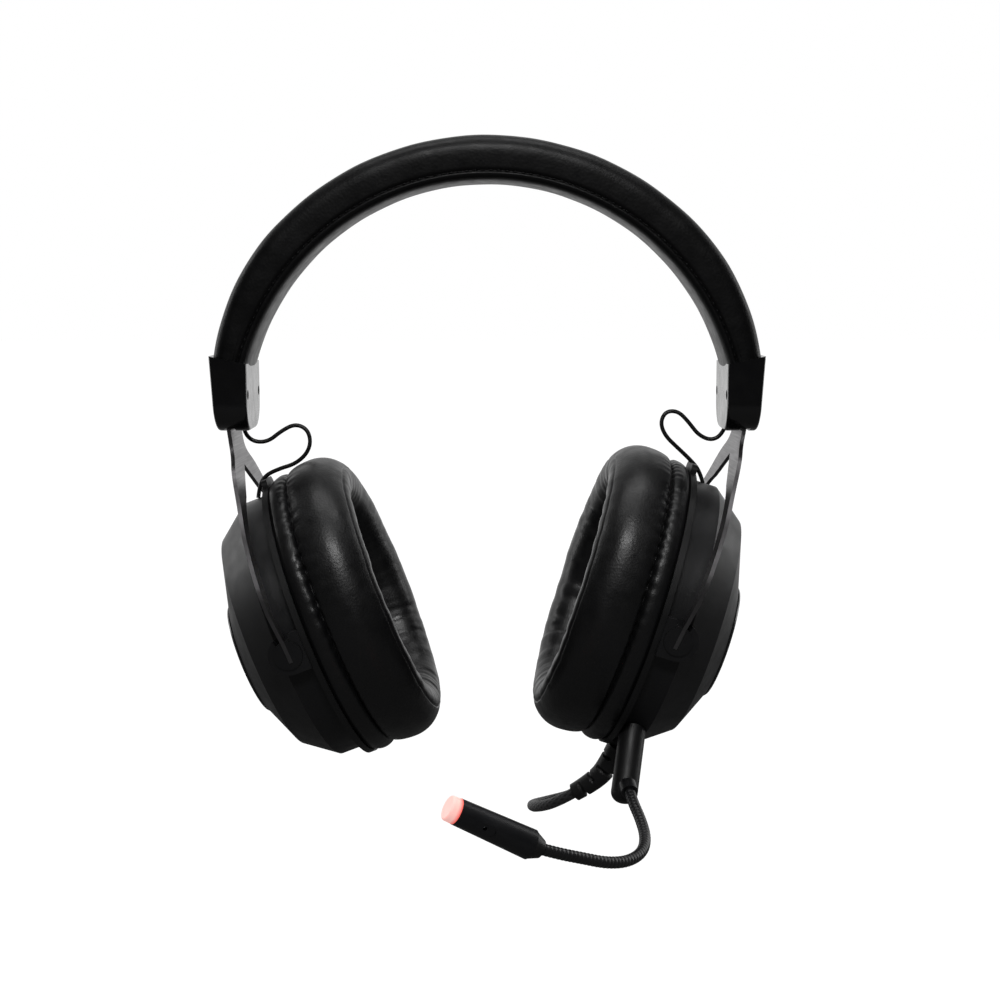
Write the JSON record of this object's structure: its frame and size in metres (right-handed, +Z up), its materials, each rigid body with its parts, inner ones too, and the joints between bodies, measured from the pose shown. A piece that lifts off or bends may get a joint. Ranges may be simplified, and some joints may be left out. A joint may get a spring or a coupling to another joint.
{
  "type": "gaming headset",
  "caption": "Over-ear gaming headset with padded arched headband, sliding steel yokes, tilting oval ear cups, flexible boom microphone and coiled USB cable.",
  "frame": {"origin": "underside of the headband at the crown, where it rests on the head", "axes": "+Z up, -Y the way the wearer faces, +X to the wearer's left"},
  "size_m": [0.1954, 0.1906, 0.2539],
  "materials": {
    "headband_leather": "fine-grained black imitation leather",
    "foam": null,
    "spring_steel": "oiled spring strip",
    "lead_jacket": "satin black jacket",
    "gloss_shell": "polished black",
    "screw_steel": "blackened",
    "yoke_steel": "satin grey",
    "pivot_plastic": "satin dark grey",
    "satin_shell": "soft satin black",
    "plate_gloss": "smooth dark plate",
    "matte_shell": "fine matt black",
    "cone_film": "thin translucent film",
    "magnet_steel": "plated",
    "ear_cloth": "thin black acoustic cloth",
    "cushion_leather": "soft black imitation leather",
    "board": "green circuit board",
    "gooseneck_sleeve": "ribbed black sleeve over a bendable core",
    "mic_shell": "satin black",
    "light_guide": "milky translucent light guide",
    "relief_rubber": "matt",
    "cable_braid": "woven braid",
    "plug_steel": "nickel plated",
    "plug_blue": "black tongue"
  },
  "bodies": {
    "headband": {"headband_cover": "headband_leather", "headband_foam": "foam", "band_spring": "spring_steel", "bridge_wire": "lead_jacket", "cap_outer_r": "gloss_shell", "cap_outer_l": "gloss_shell", "cap_inner_r": "gloss_shell", "cap_inner_l": "gloss_shell", "cap_screws_r": "screw_steel", "cap_screws_l": "screw_steel"},
    "yoke_r": {"yoke_r": "yoke_steel", "pivot_front_r": "pivot_plastic", "pivot_rear_r": "pivot_plastic", "lead_r": "lead_jacket"},
    "cup_r": {"cup_housing_r": "satin_shell", "cup_plate_r": "plate_gloss", "baffle_r": "matte_shell", "baffle_screws_r": "screw_steel", "driver_frame_r": "matte_shell", "driver_cone_r": "cone_film", "driver_magnet_r": "magnet_steel", "driver_cloth_r": "ear_cloth", "ear_cushion_r": "cushion_leather"},
    "yoke_l": {"yoke_l": "yoke_steel", "pivot_front_l": "pivot_plastic", "pivot_rear_l": "pivot_plastic", "lead_l": "lead_jacket"},
    "cup_l": {"cup_housing_l": "satin_shell", "cup_plate_l": "plate_gloss", "baffle_l": "matte_shell", "baffle_screws_l": "screw_steel", "driver_frame_l": "matte_shell", "driver_cone_l": "cone_film", "driver_magnet_l": "magnet_steel", "driver_cloth_l": "ear_cloth", "ear_cushion_l": "cushion_leather", "control_board": "board", "mic_post": "matte_shell", "boom_collar": "pivot_plastic", "strain_relief": "relief_rubber", "cable_run": "cable_braid", "cable_coil": "cable_braid", "cable_tail": "cable_braid", "cable_tie": "relief_rubber", "plug_body": "matte_shell", "plug_shell": "plug_steel", "plug_tongue": "plug_blue"},
    "mic": {"gooseneck": "gooseneck_sleeve", "mic_collar": "matte_shell", "mic_body": "mic_shell", "mic_light": "light_guide", "mic_capsule": "magnet_steel", "mic_led_board": "board"}
  },
  "joints": [
    {"name": "slider_r", "type": "slide", "parent": "headband", "child": "yoke_r", "axis": [0.1392, 0, -0.9903], "range_m": [-0.0045, 0.01], "deforming": ["lead_r"]},
    {"name": "slider_l", "type": "slide", "parent": "headband", "child": "yoke_l", "axis": [-0.1736, 0, -0.9848], "range_m": [-0.0005, 0.014], "deforming": ["lead_l"]},
    {"name": "cup_tilt_r", "type": "hinge", "parent": "yoke_r", "child": "cup_r", "pos_m": [-0.06643, -0.00039, -0.16081], "axis": [-0.0259, -0.9997, -0.0036], "range_deg": [-6, 12], "deforming": ["lead_r"]},
    {"name": "cup_tilt_l", "type": "hinge", "parent": "yoke_l", "child": "cup_l", "pos_m": [0.06393, -0.00039, -0.15594], "axis": [-0.0258, 0.9997, 0.0045], "range_deg": [-9, 8], "deforming": ["lead_l"]},
    {"name": "boom_bend", "type": "hinge", "parent": "cup_l", "child": "mic", "pos_m": [0.0489, -0.0395, -0.2086], "axis": [1, 0, 0], "range_deg": [-15, 15], "deforming": ["gooseneck"]}
  ]
}
